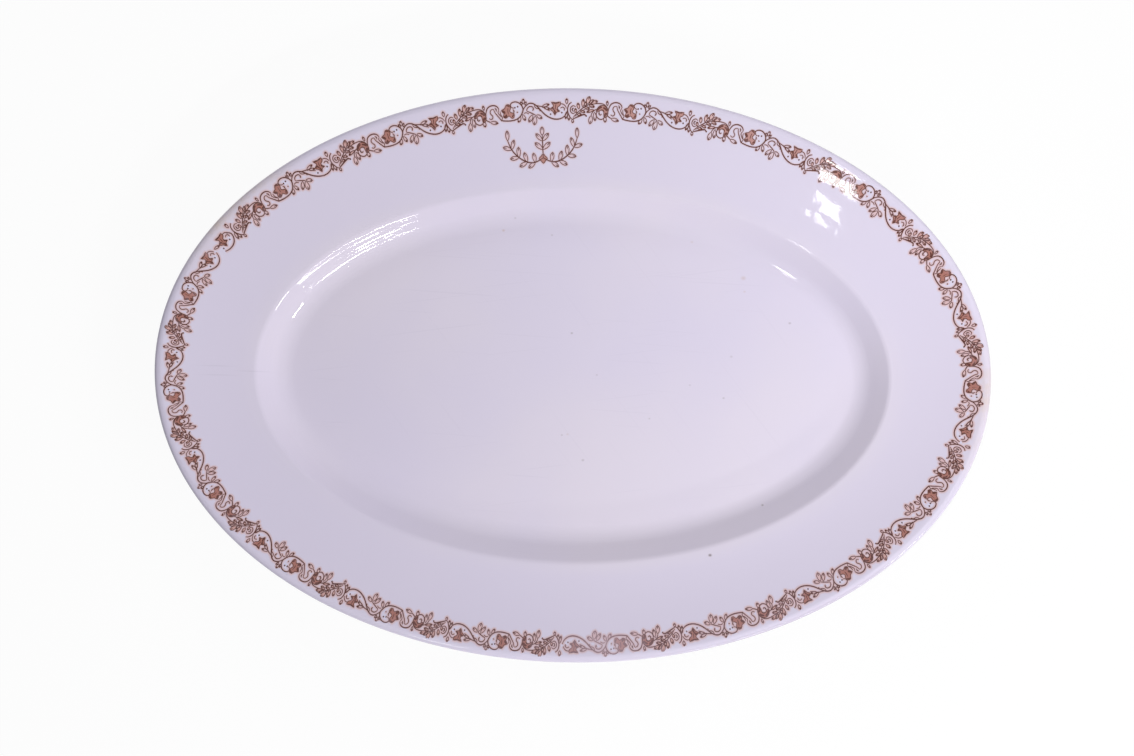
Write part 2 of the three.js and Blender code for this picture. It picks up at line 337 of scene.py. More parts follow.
def makeInk():
    material, bench = newMaterial("brownInk")
    coords = bench.objectCoords()
    # partly painted light and partly faded ink: the print is lighter towards the top of the rim
    fadedAndLit = bench.near(coords, *inkLook["fadedAndLitPlace"])
    drawn = bench.node("ShaderNodeAttribute", {"attribute_name": "wash"}, {}, "Fac")
    tone = drawn + inkLook["fadedAndLitStrength"] * fadedAndLit
    stops = [(0.25 * i, inkLook[name]) for i, name in enumerate(("line", "shade", "petal", "blush"))]
    colour = bench.node("ShaderNodeValToRGB", {"stops": stops}, {"Fac": tone}, "Color")
    # weak patches all round
    patchy = bench.rise(bench.noise(coords, 320, 4, 0.6), 0.45, 0.8)
    worn = bench.near(coords, *inkLook["wornPlace"])
    dull = bench.near(coords, *inkLook["dullPlace"])
    weak = (inkLook["patchStrength"] * patchy + inkLook["wornStrength"] * worn
            + inkLook["dullStrength"] * dull)
    colour = bench.mix(weak, colour, inkLook["worn"])
    # the ink bleeds out into the glaze
    colour = bench.mix(bench.rise(tone, 0.7, 1.0), colour, glazeColour(bench, coords))
    shader = bench.node("ShaderNodeBsdfPrincipled", {}, {
        "Base Color": colour,
        "Roughness": glazeLook["roughness"] + inkLook["unevenness"] * patchy,
        "IOR": glazeLook["ior"],
        "Normal": glazeSurface(bench, coords),
    })
    bench.finishWith(shader)
    return material


whiteGlaze = makeGlaze()
bareClay = makeClay()
brownInk = makeInk()
print("materials done")


# Modelling helpers

def deselectAll():
    if bpy.context.object and bpy.context.object.mode != "OBJECT":
        bpy.ops.object.mode_set(mode="OBJECT")
    bpy.ops.object.select_all(action="DESELECT")


def pickOnly(*objects):
    deselectAll()
    for each in objects:
        each.select_set(True)
    bpy.context.view_layer.objects.active = objects[-1]


def shadeLikeRim(piece):
    # the print is a film in the glaze, so light falls on it as on the rim
    pickOnly(piece)
    bpy.ops.object.shade_smooth()
    copier = piece.modifiers.new("rimNormals", "DATA_TRANSFER")
    copier.object = platterBody
    copier.use_loop_data = True
    copier.data_types_loops = {"CUSTOM_NORMAL"}
    copier.loop_mapping = "POLYINTERP_NEAREST"
    bpy.ops.object.modifier_apply(modifier=copier.name)
    # faces that look down keep their normals on their own side
    normals = [corner.vector.copy() for corner in piece.data.corner_normals]
    for face in piece.data.polygons:
        if face.normal.z < 0:
            for corner in face.loop_indices:
                normals[corner] = -normals[corner]
    piece.data.normals_split_custom_set(normals)


def settle(piece, material, node):
    piece.data.materials.clear()
    piece.data.materials.append(material)
    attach(piece, "root")
    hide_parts(node)


# Clay body: its section is on the short axis, r out from the middle and z up, in millimetres

platter = {
    "length": 457,
    "width": 314,
    "height": 38,
    "thickness": 6.2,
    "lipSquareness": 3,
    "rimWidth": 53.8,
    "rimHollow": 1.5,
    "wallRun": 14,
    "wellDepth": 12,
    "coveRadius": 18,
    "shoulderRadius": 9,
    "underShoulderRadius": 7.8,
    "footHeight": 4.5,
    # rings on the flats, from the base's middle out and from the floor's edge in
    "baseRings": (20, 55, 76),
    "floorRings": (70, 45, 20),
    "around": 240,
    "steps": {"underCove": 8, "underShoulder": 5, "underRim": 5, "lowerLip": 6, "upperLip": 8, "rim": 15,
              "shoulder": 8, "cove": 10},
}
spread = (platter["length"] - platter["width"]) / 2
halfWidth = platter["width"] / 2
floorZ = platter["footHeight"] + platter["thickness"]
lipRadius = platter["thickness"] / 2
lipCentre = Vector((halfWidth - lipRadius, platter["height"] - lipRadius))
shoulder = Vector((halfWidth - platter["rimWidth"], floorZ + platter["wellDepth"]))
floorCorner = Vector((shoulder.x - platter["wallRun"], floorZ))
wallAngle = math.atan2(platter["wellDepth"], platter["wallRun"])
toLip = lipCentre - shoulder
rimAngle = math.atan2(toLip.y, toLip.x) + math.asin(lipRadius / toLip.length)
rimNormal = Vector((-math.sin(rimAngle), math.cos(rimAngle)))
rimTop = lipCentre + lipRadius * rimNormal
rimUnder = lipCentre - lipRadius * rimNormal


def sag(share):
    # how far the hollow rim lies under its straight line
    return 4 * platter["rimHollow"] * share * (1 - share)


def hollowRim(start, end, steps):
    shares = [i / steps for i in range(1, steps)]
    return [start.lerp(end, share) - Vector((0, sag(share))) for share in shares]


def underCorner(corner, before, after):
    middle = (before + after) / 2
    reach = platter["thickness"] / math.cos((after - before) / 2)
    return corner + reach * Vector((math.sin(middle), -math.cos(middle)))


def roundCorner(before, corner, after, radius, steps):
    back = before - corner
    ahead = after - corner
    halfTurn = (math.pi - back.angle(ahead)) / 2
    room = 0.49 * min(back.length, ahead.length)  # just short of half of each side
    reach = min(radius * math.tan(halfTurn), room)
    start = corner + back.normalized() * reach
    end = corner + ahead.normalized() * reach
    bend = reach / math.tan(halfTurn)
    inwards = (back.normalized() + ahead.normalized()).normalized()
    centre = corner + inwards * math.hypot(bend, reach)
    first = (start - centre).normalized()
    last = (end - centre).normalized()
    return [centre + first.slerp(last, i / steps) * bend for i in range(steps + 1)]


def lipPoint(turn):
    # the upper outer quarter is flatter than a circle
    if 0 < turn < math.pi / 2:
        power = 2 / platter["lipSquareness"]
        return lipCentre + lipRadius * Vector((math.cos(turn) ** power, math.sin(turn) ** power))
    return lipCentre + lipRadius * Vector((math.cos(turn), math.sin(turn)))


def lipArc(fromAngle, toAngle, steps):
    return [lipPoint(fromAngle + (toAngle - fromAngle) * i / steps) for i in range(steps + 1)]


def ovalRings(name, rings, around):
    # a circle drawn out to the first oval, then extruded from ring to ring
    deselectAll()
    bpy.ops.mesh.primitive_circle_add(vertices=around, radius=mm, location=(0, 0, 0))
    made = bpy.context.object
    made.name = name
    made.data.name = name
    bpy.ops.object.mode_set(mode="EDIT")
    bpy.ops.mesh.select_all(action="SELECT")
    bpy.ops.transform.resize(value=(rings[0].x + spread, rings[0].x, 1))
    bpy.ops.transform.translate(value=(0, 0, rings[0].y * mm))
    for last, ring in zip(rings, rings[1:]):
        bpy.ops.mesh.extrude_edges_move()
        bpy.ops.transform.resize(value=((ring.x + spread) / (last.x + spread), ring.x / last.x, 1))
        bpy.ops.transform.translate(value=(0, 0, (ring.y - last.y) * mm))
    return made


def drawToMiddle(ring):
    # the selected ring goes in to the line between the two ends of the flat
    bpy.ops.mesh.extrude_edges_move()
    bpy.ops.transform.resize(value=(spread / (ring.x + spread), 0, 1))


def closeSurface(made):
    bpy.ops.mesh.select_all(action="SELECT")
    bpy.ops.mesh.remove_doubles(threshold=1e-6)
    bpy.ops.mesh.normals_make_consistent(inside=False)
    bpy.ops.object.mode_set(mode="OBJECT")


def smoothOut(made, levels):
    pickOnly(made)
    smoother = made.modifiers.new("smooth", "SUBSURF")
    smoother.levels = levels
    smoother.render_levels = levels
    bpy.ops.object.modifier_apply(modifier=smoother.name)
    bpy.ops.object.shade_smooth()


def makeBody():
    # the section runs from the base's middle out under the rim, over the lip and back in to the floor
    steps = platter["steps"]
    underFloor = underCorner(floorCorner, 0, wallAngle)
    underShoulder = underCorner(shoulder, wallAngle, rimAngle)
    underCove = platter["coveRadius"] + platter["thickness"]
    underRim = hollowRim(underShoulder, rimUnder, steps["underRim"])
    upperRim = hollowRim(rimTop, shoulder, steps["rim"])
    baseRings = [Vector((r, platter["footHeight"])) for r in platter["baseRings"]]
    floorRings = [Vector((r, floorZ)) for r in platter["floorRings"]]
    base, floor = baseRings[0], floorRings[-1]
    rings = baseRings + roundCorner(base, underFloor, underShoulder, underCove, steps["underCove"])
    rings += roundCorner(underFloor, underShoulder, underRim[0], platter["underShoulderRadius"],
                         steps["underShoulder"])
    rings += underRim
    rings += lipArc(rimAngle - math.pi / 2, 0, steps["lowerLip"])
    rings += lipArc(0, rimAngle + math.pi / 2, steps["upperLip"])[1:]
    rings += upperRim
    rings += roundCorner(upperRim[-1], shoulder, floorCorner, platter["shoulderRadius"], steps["shoulder"])
    rings += roundCorner(shoulder, floorCorner, floor, platter["coveRadius"], steps["cove"])
    rings += floorRings
    made = ovalRings("platterBody", rings, platter["around"])
    drawToMiddle(floor)
    bpy.ops.mesh.select_all(action="DESELECT")
    bpy.ops.object.mode_set(mode="OBJECT")
    for vertex in made.data.vertices:
        vertex.select = vertex.index < platter["around"]
    bpy.ops.object.mode_set(mode="EDIT")
    drawToMiddle(base)
    closeSurface(made)
    smoothOut(made, 1)
    settle(made, whiteGlaze, "platter_body")
    return made


platterBody = makeBody()
print("body done", len(platterBody.data.polygons))


# Foot ring, flared where slip joins it to the base

foot = {
    "middle": 76.1,
    "width": 7,
    "tread": 4,
    "flare": 1.6,
    "sunk": 0.6,
    "around": 144,
}


def makeFoot():
    half = foot["width"] / 2
    treadHalf = foot["tread"] / 2
    top = platter["footHeight"]
    flared = half + foot["flare"]
    buried = top + foot["sunk"]
    # outer half of the section, from the middle of the tread up into the base
    right = [
        (0, 0), (treadHalf - 0.4, 0), (treadHalf, 0.06), (treadHalf + 0.5, 0.45), (half - 0.25, 1.5),
        (half, 2.3), (half + 0.15, 3.2), (half + 0.6, top - 0.5), (flared, top - 0.02),
        (flared, buried), (0, buried),
    ]
    loop = right + [(-side, z) for side, z in reversed(right[1:-1])] + right[:1]
    rings = [Vector((foot["middle"] + side, z)) for side, z in loop]
    made = ovalRings("footRing", rings, foot["around"])
    closeSurface(made)
    smoothOut(made, 1)
    settle(made, bareClay, "foot_ring")
    return made


footRing = makeFoot()
print("foot ring done", len(footRing.data.polygons))


# The border's drawing, in millimetres: u runs clockwise along the rim, v outwards

scroll = {
    "from": -2.7,
    "to": 66.5,
    "stems": [
        # width, then the points: the C scroll and the stem under it
        (0.66, [(-0.4, 4.1), (-1.9, 3.0), (-2.7, 0.6), (-2.3, -1.8), (-1.2, -3.9), (0, -4.9)]),
        (0.55, [(1.9, 1.6), (0.6, 2.3), (-0.7, 1.6), (-1.2, 0.2), (-0.7, -1.2), (0.5, -1.8), (1.6, -1.2)]),
        (0.46, [(0.9, 0.9), (0.2, 1.0), (-0.2, 0.2), (0.3, -0.6), (1.0, -0.4)]),
        (0.8, [(0, -4.9), (2.2, -3.9), (4.4, -3.0), (6.2, -2.3), (7.2, -2.3), (7.9, -3.1)]),
        # fern and the ring beyond it
        (0.55, [(0.4, -4.0), (2.4, -1.8), (4.6, 0.2), (7.0, 1.9), (9.4, 3.1), (11.0, 3.9)]),
        (0.46, [(1.6, -3.2), (4.0, -1.4), (6.4, 0.2), (8.8, 1.4), (11.6, 2.4)]),
        (0.55, [(9.8, 2.9), (12.4, 3.5), (15, 3.8), (17.4, 3.5), (19.2, 2.2), (20.1, 0.2), (19.6, -2.0)]),
        (0.58, [(14.3, 0.6), (13.6, -1.6), (14.2, -3.5), (16.0, -4.5), (17.6, -4.1), (18.4, -2.9)]),
        (0.5, [(15.4, -0.4), (15.0, -1.6), (15.9, -2.3), (16.7, -1.5)]),
        (0.55, [(14.6, 0.9), (12.6, 0.2), (11.2, -1.2), (10.7, -2.8)]),
        (0.6, [(19.6, -2.0), (20.8, -3.0), (22.4, -3.8)]),
        # arch with its inner curl
        (0.68, [(20.2, -0.4), (20.5, 1.6), (21.6, 3.7), (23.6, 4.7), (25.8, 4.6), (27.3, 3.6), (27.9, 2.2)]),
        (0.55, [(24.9, 2.9), (23.5, 2.6), (22.8, 1.4), (23.2, 0.2), (24.0, -0.8), (23.7, -2.0), (22.6, -2.3),
                (21.8, -1.6)]),
        (0.46, [(25.6, 3.4), (26.5, 2.6), (26.2, 1.4)]),
        (0.5, [(27.9, 2.2), (27.2, 0.9), (27.9, -0.5), (28.9, -1.7)]),
        # bowl and ring round the first flower
        (0.7, [(24.9, 2.9), (25.4, 1.2), (26.4, -0.4), (27.6, -2.0), (28.8, -3.5), (31.0, -4.0), (34.0, -4.2),
               (37.0, -3.8), (39.4, -2.5), (40.9, -0.4), (41.4, 1.4), (40.8, 3.3), (39.2, 4.9), (37.2, 5.5),
               (35.4, 5.1), (34.5, 4.0), (35.1, 2.7), (36.3, 2.3)]),
        (0.55, [(35.6, 1.7), (36.3, 0.8), (36.0, -0.2)]),
        (0.5, [(37.6, 0.1), (38.6, -0.1)]),
        (0.5, [(28.4, 1.4), (28.6, -0.4), (29.4, -2.0), (29.0, -3.2)]),
        # long S scroll that ends in a bowl
        (0.74, [(40.9, -0.4), (42.0, 1.8), (43.6, 3.4), (45.4, 4.2), (47.4, 3.8), (49.4, 2.4), (51.2, 0.4),
                (53.2, -1.7), (55.6, -3.4), (58.4, -4.5), (61.2, -4.7), (63.8, -3.9), (65.6, -2.2),
                (66.5, -0.2)]),
        (0.58, [(43.4, 0.2), (43.8, 1.6), (45.2, 2.5), (46.8, 2.2), (47.3, 1.0), (46.6, 0.2)]),
        (0.5, [(47.9, 3.3), (48.2, 2.0), (49.2, 1.3), (50.4, 0.9), (51.0, -0.4)]),
        (0.58, [(43.4, 0.2), (45.2, -0.6), (47.2, -1.6), (48.4, -2.3)]),
        (0.58, [(48.6, 3.0), (50.8, 2.4), (52.6, 2.0), (54.4, 0.7), (56.6, -0.3)]),
        (0.46, [(41.6, -1.0), (43.0, -0.6), (44.6, -1.4)]),
        # tendrils by the second flower
        (0.5, [(62.2, 3.2), (63.8, 3.2), (65.2, 2.2), (65.9, 0.8)]),
        (0.5, [(62.4, 1.0), (63.7, 1.6), (64.8, 0.8), (64.5, -0.3)]),
    ],
    "leaves": [
        # root, tip and half width
        ((18.6, -2.8), (18.9, -5.9), 0.8), ((22.2, -3.8), (26.4, -4.7), 0.85),
        ((19.6, 2.8), (19.3, 5.3), 0.5), ((10.8, -2.6), (10.2, -7.1), 1.05),
        ((12.5, -0.8), (13.1, -5.4), 0.85), ((41.8, 4.0), (41.9, 6.7), 0.65),
        ((41.1, 3.6), (40.3, 5.3), 0.4), ((42.6, 3.4), (43.4, 5.2), 0.4),
        ((39.8, -2.6), (38.1, -5.3), 0.75), ((41.0, -1.4), (42.3, -4.7), 0.75),
        ((46.7, -1.9), (44.2, -5.7), 0.9), ((48.2, -2.6), (47.2, -7.3), 1.15),
        ((48.8, -2.2), (51.9, -4.0), 0.85), ((52.2, 2.2), (56.3, 3.2), 0.65),
        ((53.0, 1.6), (56.6, 0.7), 0.6), ((-3.2, 3.2), (-3.2, 6.0), 0.65),
        ((-3.0, -0.6), (-3.9, -4.7), 0.65), ((-2.3, -1.9), (-1.9, -5.4), 0.65),
        ((0.1, -4.8), (0.3, -6.7), 0.6),
    ],
    "ferns": [
        ((3.7, 0.6), (3.0, 3.7), 0.75), ((5.8, 1.6), (6.1, 5.8), 0.8), ((8.0, 3.0), (9.5, 7.3), 1.0),
        ((10.2, 3.6), (14.0, 5.0), 0.9), ((4.4, -0.2), (7.2, -1.1), 0.65), ((6.8, 1.4), (9.7, 0.9), 0.7),
        ((9.4, 2.6), (12.4, 1.9), 0.7), ((12.2, 0.4), (8.0, -1.0), 0.6), ((2.2, -1.4), (1.6, 0.9), 0.6),
        ((7.0, 2.2), (7.6, 4.6), 0.6), ((9.6, 3.6), (11.8, 5.6), 0.7), ((2.6, -2.4), (5.2, -2.0), 0.5),
    ],
    "petals": [
        # rosette on the ring, first flower, second flower
        [(13.4, -0.4), (14.6, 1.9), (16.4, 2.9), (18.4, 2.5), (19.8, 0.9), (20.2, -1.2), (19.3, -3.4),
         (18.0, -3.0), (17.8, -0.6), (16.9, 0.3), (15.6, 0.2), (14.7, -0.6)],
        [(29.1, 1.6), (31.1, 2.5), (32.2, 4.3), (34.2, 4.1), (34.4, 2.2), (33.8, 1.0), (34.7, 0.0),
         (36.2, -0.5), (35.9, -2.7), (34.5, -2.8), (33.2, -1.5), (31.3, -2.6), (29.9, -1.7), (30.5, -0.1)],
        [(57.4, 4.3), (60.0, 3.9), (62.4, 4.3), (62.3, 2.5), (60.9, 1.6), (61.1, 0.3), (62.1, -0.6),
         (60.3, -1.0), (59.3, -2.6), (58.2, -0.6), (56.5, 0.7), (58.2, 1.7), (58.5, 2.8)],
    ],
    "shades": [
        # darker strokes inside the flowers
        (1.3, [(14.0, 0.0), (15.2, 1.5), (16.6, 2.1)]), (1.2, [(17.2, 1.7), (18.6, 1.1), (19.5, 0.0)]),
        (1.2, [(18.4, -2.9), (18.9, -1.6), (19.4, -0.8)]), (0.7, [(16.0, 0.6), (17.4, 0.4), (18.0, -0.6)]),
        (1.2, [(29.6, 1.5), (30.6, 0.8), (31.0, -0.2)]), (1.2, [(30.3, -1.5), (31.5, -1.8), (31.7, -0.6)]),
        (0.7, [(32.2, 3.8), (33.4, 3.7), (33.9, 3.0)]), (0.8, [(34.9, -2.3), (35.5, -1.6), (35.7, -0.8)]),
        (0.5, [(33.0, -0.8), (32.8, 0.8), (33.0, 2.6)]), (1.0, [(57.2, 0.8), (58.4, 1.1), (58.7, 0.0)]),
        (0.6, [(57.8, 4.0), (59.6, 3.6), (61.8, 3.9)]), (1.0, [(59.2, -2.0), (59.4, -0.9), (59.0, 0.2)]),
        (0.5, [(60.0, 3.2), (59.7, 1.8), (59.6, 0.4)]), (0.6, [(61.8, -0.5), (60.8, 0.0), (60.4, 0.8)]),
    ],
    "dots": [
        (38.5, 2.9), (36.9, 2.5), (56.8, -2.0), (63.2, -1.3), (52.4, 2.0), (28.8, -3.5), (7.9, -3.0),
        (26.3, -4.7),
    ],
}

# how the ink lies: widths of its strokes in millimetres, and heights of its layers
ink = {
    "dotSize": 0.5,
    "outlineWidth": 0.46,
    "tipWidth": 0.62,
    "tipShares": (0.6, 0.8, 0.98),
    "haloWidth": 3.6,
    "haloRoot": -0.08,
    "haloCrest": 0.006,
    "haloTop": 0.012,
    "fillTop": 0.03,
    "strokeRoot": 0.018,
    "shadeTop": 0.048,
    "lineTop": 0.066,
    # how far strokes thin out towards their ends
    "stemTaper": 0.45,
    "strokeTaper": 0.5,
    # widths of a leaf along its length
    "leafForm": ((0.16, 0.55), (0.4, 0.95), (0.66, 1.0), (0.88, 0.6)),
}
# tone of each kind of mark, from full ink at 0 to bare glaze at 1
wash = {"line": 0, "shade": 0.06, "petal": 0.54, "fern": 0.68, "leaf": 0.78, "halo": 0.73, "glaze": 1}


def smoothPath(points, steps, closed=False):
    # points on a smooth curve through the drawn ones
    count = len(points)
    spans = count if closed else count - 1
    path = []
    for i in range(spans):
        if closed:
            a, b, c, d = (Vector(points[(i + k) % count]) for k in (-1, 0, 1, 2))
        else:
            a, b, c, d = (Vector(points[min(max(i + k, 0), count - 1)]) for k in (-1, 0, 1, 2))
        for step in range(steps):
            t = step / steps
            path.append(0.5 * (2 * b + (c - a) * t + (2 * a - 5 * b + 4 * c - d) * t ** 2
                               + (3 * b - a - 3 * c + d) * t ** 3))
    if not closed:
        path.append(Vector(points[-1]))
    return path


def leafOutline(root, tip, half):
    root, tip = Vector(root), Vector(tip)
    along = tip - root
    across = Vector((-along.y, along.x)).normalized() * half
    one = [root + along * t + across * w for t, w in ink["leafForm"]]
    other = [root + along * t - across * w for t, w in reversed(ink["leafForm"])]
    return [root, *one, tip, *other]


def curveToMesh(name, data):
    made = bpy.data.objects.new(name, data)
    bpy.context.scene.collection.objects.link(made)
    pickOnly(made)
    bpy.ops.object.convert(target="MESH")
    return bpy.context.object


def inkStrokes(name, strokes, low, high):
    # thin flat ribbons: a bevelled curve pressed flat between two heights
    data = bpy.data.curves.new(name, "CURVE")
    data.dimensions = "3D"
    data.bevel_depth = 0.5
    data.bevel_resolution = 0
    data.use_fill_caps = True
    for width, path, closed, taper in strokes:
        spline = data.splines.new("POLY")
        spline.points.add(len(path) - 1)
        spline.use_cyclic_u = closed
        for i, (point, place) in enumerate(zip(spline.points, path)):
            share = i / (len(path) - 1)
            point.co = (place.x, place.y, 0, 1)
            point.radius = width * (1 - taper * abs(2 * share - 1) ** 3)
    made = curveToMesh(name, data)
    widest = max(width for width, path, closed, taper in strokes)
    bpy.ops.object.mode_set(mode="EDIT")
    bpy.ops.mesh.select_all(action="SELECT")
    bpy.ops.transform.resize(value=(1, 1, (high - low) / widest))
    bpy.ops.transform.translate(value=(0, 0, (high + low) / 2))
    bpy.ops.object.mode_set(mode="OBJECT")
    return made


def inkFills(name, outlines):
    # thin plates inside closed outlines
    data = bpy.data.curves.new(name, "CURVE")
    data.dimensions = "2D"
    data.fill_mode = "BOTH"
    data.extrude = ink["fillTop"]
    for path in outlines:
        spline = data.splines.new("POLY")
        spline.points.add(len(path) - 1)
        spline.use_cyclic_u = True
        for point, place in zip(spline.points, path):
            point.co = (place[0], place[1], 0, 1)
    made = curveToMesh(name, data)
    bpy.ops.object.mode_set(mode="EDIT")
    closeSurface(made)
    return made


def tint(made, tone, edgeTone=None, crest=0):
    # the tone of the ink, which may fade from a ribbon's crest to its edges
    layer = made.data.attributes.new("wash", "FLOAT", "POINT")
    if edgeTone is None:
        edgeTone = tone
    values = [tone if vertex.co.z > crest else edgeTone for vertex in made.data.vertices]
    layer.data.foreach_set("value", values)


def joinAs(name, parts):
    pickOnly(*parts)
    bpy.ops.object.join()
    made = bpy.context.object
    made.name = name
    return made


def drawInk(name, drawing):
    leaves = drawing["leaves"]
    ferns = drawing.get("ferns", [])
    size = ink["dotSize"]
    leafPaths = [leafOutline(*leaf) for leaf in leaves]
    fernPaths = [leafOutline(*leaf) for leaf in ferns]
    petalPaths = [smoothPath(points, 2, closed=True) for points in drawing["petals"]]
    dotPaths = [leafOutline((u - size, v), (u + size, v), size) for u, v in drawing.get("dots", [])]
    stems = [(width, smoothPath(points, 3), False, ink["stemTaper"]) for width, points in drawing["stems"]]
    outlines = [(ink["outlineWidth"], path, True, 0) for path in leafPaths + fernPaths + petalPaths]
    tips = []
    for root, tip, half in leaves + ferns:
        path = [Vector(root).lerp(Vector(tip), share) for share in ink["tipShares"]]
        tips.append((ink["tipWidth"], path, False, ink["strokeTaper"]))
    halos = [(ink["haloWidth"], path, closed, 0) for width, path, closed, taper in stems + outlines]
    shades = [(width, smoothPath(points, 3), False, ink["strokeTaper"])
              for width, points in drawing.get("shades", [])]
    strokeKinds = [("Shades", shades, "shade", "shadeTop"),
                   ("Lines", stems + outlines + tips, "line", "lineTop")]
    fillKinds = [("Leaves", leafPaths, "leaf"), ("Ferns", fernPaths, "fern"),
                 ("Petals", petalPaths, "petal"), ("Dots", dotPaths, "line")]
    parts = [inkStrokes(name + "Halo", halos, ink["haloRoot"], ink["haloTop"])]
    tint(parts[0], wash["halo"], wash["glaze"], ink["haloCrest"])
    for label, strokes, tone, top in strokeKinds:
        if strokes:
            parts.append(inkStrokes(name + label, strokes, ink["strokeRoot"], ink[top]))
            tint(parts[-1], wash[tone])
    for label, paths, tone in fillKinds:
        if paths:
            parts.append(inkFills(name + label, paths))
            tint(parts[-1], wash[tone])
    return joinAs(name, parts)


# The rim, measured along the lip

lipLine = {"samples": 4000}
turns = np.linspace(0, 2 * math.pi, lipLine["samples"] + 1)
lipX = (halfWidth + spread) * np.sin(turns)
lipY = halfWidth * np.cos(turns)
lipAlong = np.concatenate([[0], np.cumsum(np.hypot(np.diff(lipX), np.diff(lipY)))])
lipLength = lipAlong[-1]


# The border in millimetres: the joins are places along the lip, clockwise from the top

border = {
    "inset": 10.5,
    "repeat": 66,
    "joinAtRight": 344.6,
    "joinAtBottom": 615.8,
    "joinAtUpperLeft": 1006.8,
    "joinGap": 1.8,
    "patchLength": 12.5,
    "lift": 0.04,
    # the strips were laid by hand, so the band wanders in and out
    "wander": [(0.6, np.cos, 1), (0.3, np.cos, 2), (-0.5, np.sin, 2), (0.55, np.cos, 3)],
    # the film ends this far in from the lip, where it sinks into the glaze
    "end": 3.4,
    "fade": 0.6,
    "sunk": 0.16,
    # the patch is the cut end of a repeat: its bowl, its second flower and what grows there
    "patchBowl": (0.74, [(56, -3.6), (58.4, -4.5), (61.2, -4.7), (63.8, -3.9), (65.6, -2.2), (66.4, -0.2),
                         (65.8, 1.4), (64.6, 2.0)]),
    "patchStemsFrom": 60,
    "patchLeavesFrom": 52.5,
    "patchDotsFrom": 56,
}


def sectionHeight(inset):
    # height of the upper face at a distance in from the lip, on the short axis
    share = (halfWidth - inset - shoulder.x) / (rimTop.x - shoulder.x)
    onRim = shoulder.y + (rimTop.y - shoulder.y) * share - sag(share)
    across = 1 - inset / lipRadius
    power = np.where(across > 0, platter["lipSquareness"], 2)
    onLip = lipCentre.y + lipRadius * np.maximum(1 - np.abs(across) ** power, 0) ** (1 / power)
    return np.where(inset < halfWidth - rimTop.x, onLip, onRim)


def layOnRim(made, start, stretch, origin, middleInset, sway):
    count = len(made.data.vertices)
    flat = np.empty(count * 3)
    made.data.vertices.foreach_get("co", flat)
    u, v, lift = flat.reshape(-1, 3).T
    along = (start + (u - origin) * stretch) % lipLength
    turn = np.interp(along, lipAlong, turns)
    wander = sum(amount * wave(times * turn) for amount, wave, times in border["wander"])
    inset = middleInset - v + sway * wander
    outX = np.sin(turn) / (halfWidth + spread)
    outY = np.cos(turn) / halfWidth
    size = np.hypot(outX, outY)
    x = np.interp(along, lipAlong, lipX) - inset * outX / size
    y = np.interp(along, lipAlong, lipY) - inset * outY / size
    # which oval of the body runs through this place, closer with each round
    r = halfWidth - inset
    for _ in range(8):
        value = (x / (r + spread)) ** 2 + (y / r) ** 2 - 1
        slope = -2 * x ** 2 / (r + spread) ** 3 - 2 * y ** 2 / r ** 3
        r = r - value / slope
    inset = halfWidth - r
    sunk = border["sunk"] * np.clip((border["end"] - inset) / border["fade"], 0, 1)
    z = sectionHeight(inset) + border["lift"] + lift - sunk
    made.data.vertices.foreach_set("co", (np.stack([x, y, z], 1) * mm).ravel())
    made.data.update()


def makeStrip(motif, name, node, start, end):
    span = end - start - border["joinGap"]
    repeats = round(span / border["repeat"])
    stretch = span / repeats / (scroll["to"] - scroll["from"])
    copies = []
    for i in range(repeats):
        copy = motif.copy()
        copy.data = motif.data.copy()
        bpy.context.scene.collection.objects.link(copy)
        layOnRim(copy, start + i * span / repeats, stretch, scroll["from"], border["inset"], 1)
        copies.append(copy)
    made = joinAs(name, copies)
    made.data.name = name
    shadeLikeRim(made)
    settle(made, brownInk, node)
    print(name, "done", repeats, "repeats", len(made.data.polygons))


def makePatch():
    stemsFrom = border["patchStemsFrom"]
    leavesFrom = border["patchLeavesFrom"]
    dotsFrom = border["patchDotsFrom"]
    made = drawInk("borderPatch", {
        "stems": [border["patchBowl"]] + [stem for stem in scroll["stems"] if stem[1][0][0] > stemsFrom],
        "leaves": [leaf for leaf in scroll["leaves"] if leaf[0][0] > leavesFrom],
        "petals": scroll["petals"][2:],
        "shades": [shade for shade in scroll["shades"] if shade[1][0][0] > leavesFrom],
        "dots": [dot for dot in scroll["dots"] if dot[0] > dotsFrom],
    })
    layOnRim(made, border["joinAtUpperLeft"] - border["joinGap"], 1, scroll["to"], border["inset"], 1)
    shadeLikeRim(made)
    settle(made, brownInk, "border_patch")


def makeBorder():
    right, bottom, upperLeft = (border[key] for key in ("joinAtRight", "joinAtBottom", "joinAtUpperLeft"))
    patchStart = upperLeft - border["patchLength"] - border["joinGap"]
    motif = drawInk("scrollMotif", scroll)
    makeStrip(motif, "borderStripLeft", "border_strip_left", bottom, patchStart)
    makeStrip(motif, "borderStripUpper", "border_strip_upper", upperLeft, lipLength + right)
    makeStrip(motif, "borderStripRight", "border_strip_right", right, bottom)
    makePatch()
    bpy.data.objects.remove(motif)


makeBorder()
print("border done")


# Spray of leaves on the upper rim

